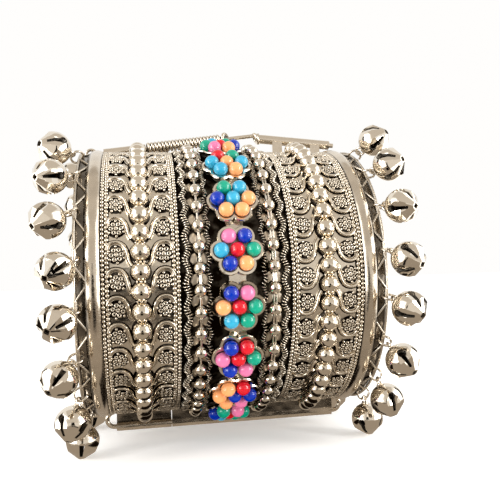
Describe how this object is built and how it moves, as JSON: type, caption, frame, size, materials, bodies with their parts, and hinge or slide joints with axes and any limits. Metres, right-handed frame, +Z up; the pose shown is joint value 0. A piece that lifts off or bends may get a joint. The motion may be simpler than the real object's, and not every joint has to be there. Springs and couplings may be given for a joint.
{
  "type": "bell cuff anklet",
  "caption": "Hinged cuff anklet in antiqued silver with bead flowers, ball chains, scrollwork panels, wire edging and bells on jump rings.",
  "frame": {"origin": "centre of the ankle bore, on the cuff's axis and midway between its rims", "axes": "+X along the cuff's axis towards the right edge as seen from the front, -Y to the front, +Z up to the clasp"},
  "size_m": [0.0982, 0.0946, 0.0905],
  "materials": {
    "satin_silver": "satin nickel silver, lightly brushed, warm tone",
    "antique_silver": "antiqued silver: bright on the high points, dark in the recesses",
    "oxidised_silver": "blackened silver, dull",
    "polished_silver": "polished nickel silver",
    "wire_silver": "drawn wire, polished",
    "bead_blue": "glossy opaque bead",
    "bead_turquoise": "glossy opaque bead",
    "bead_green": "glossy opaque bead",
    "bead_red": "glossy opaque bead",
    "bead_peach": "glossy opaque bead",
    "bead_pink": "glossy opaque bead"
  },
  "bodies": {
    "front_half": {"front_shell": "satin_silver", "front_left_panel": "antique_silver", "front_right_panel": "antique_silver", "front_middle_strip": "oxidised_silver", "front_rope_strips": "antique_silver", "front_ball_chains": "polished_silver", "front_flower_cups": "polished_silver", "front_left_edging": "wire_silver", "front_right_edging": "wire_silver", "front_left_jump_rings": "wire_silver", "front_right_jump_rings": "wire_silver", "front_left_bells": "polished_silver", "front_right_bells": "polished_silver", "front_beads_blue": "bead_blue", "front_beads_turquoise": "bead_turquoise", "front_beads_green": "bead_green", "front_beads_red": "bead_red", "front_beads_peach": "bead_peach", "front_beads_pink": "bead_pink", "hinge_pin": "wire_silver", "clasp_sleeve": "satin_silver", "clasp_tube": "satin_silver"},
    "back_half": {"back_shell": "satin_silver", "back_left_panel": "antique_silver", "back_right_panel": "antique_silver", "back_middle_strip": "oxidised_silver", "back_rope_strips": "antique_silver", "back_ball_chains": "polished_silver", "back_flower_cups": "polished_silver", "back_left_edging": "wire_silver", "back_right_edging": "wire_silver", "back_left_jump_rings": "wire_silver", "back_right_jump_rings": "wire_silver", "back_left_bells": "polished_silver", "back_right_bells": "polished_silver", "back_beads_blue": "bead_blue", "back_beads_turquoise": "bead_turquoise", "back_beads_green": "bead_green", "back_beads_red": "bead_red", "back_beads_peach": "bead_peach", "back_beads_pink": "bead_pink", "clasp_coil": "satin_silver"},
    "clasp_pin": {"clasp_pin": "wire_silver"}
  },
  "joints": [
    {"name": "hinge", "type": "hinge", "parent": "front_half", "child": "back_half", "pos_m": [0, 0, -0.0422], "axis": [-1, 0, 0], "range_deg": [0, 90]},
    {"name": "clasp_pin_draw", "type": "slide", "parent": "front_half", "child": "clasp_pin", "axis": [-0.993, 0, -0.1184], "range_m": [0, 0.054]}
  ]
}
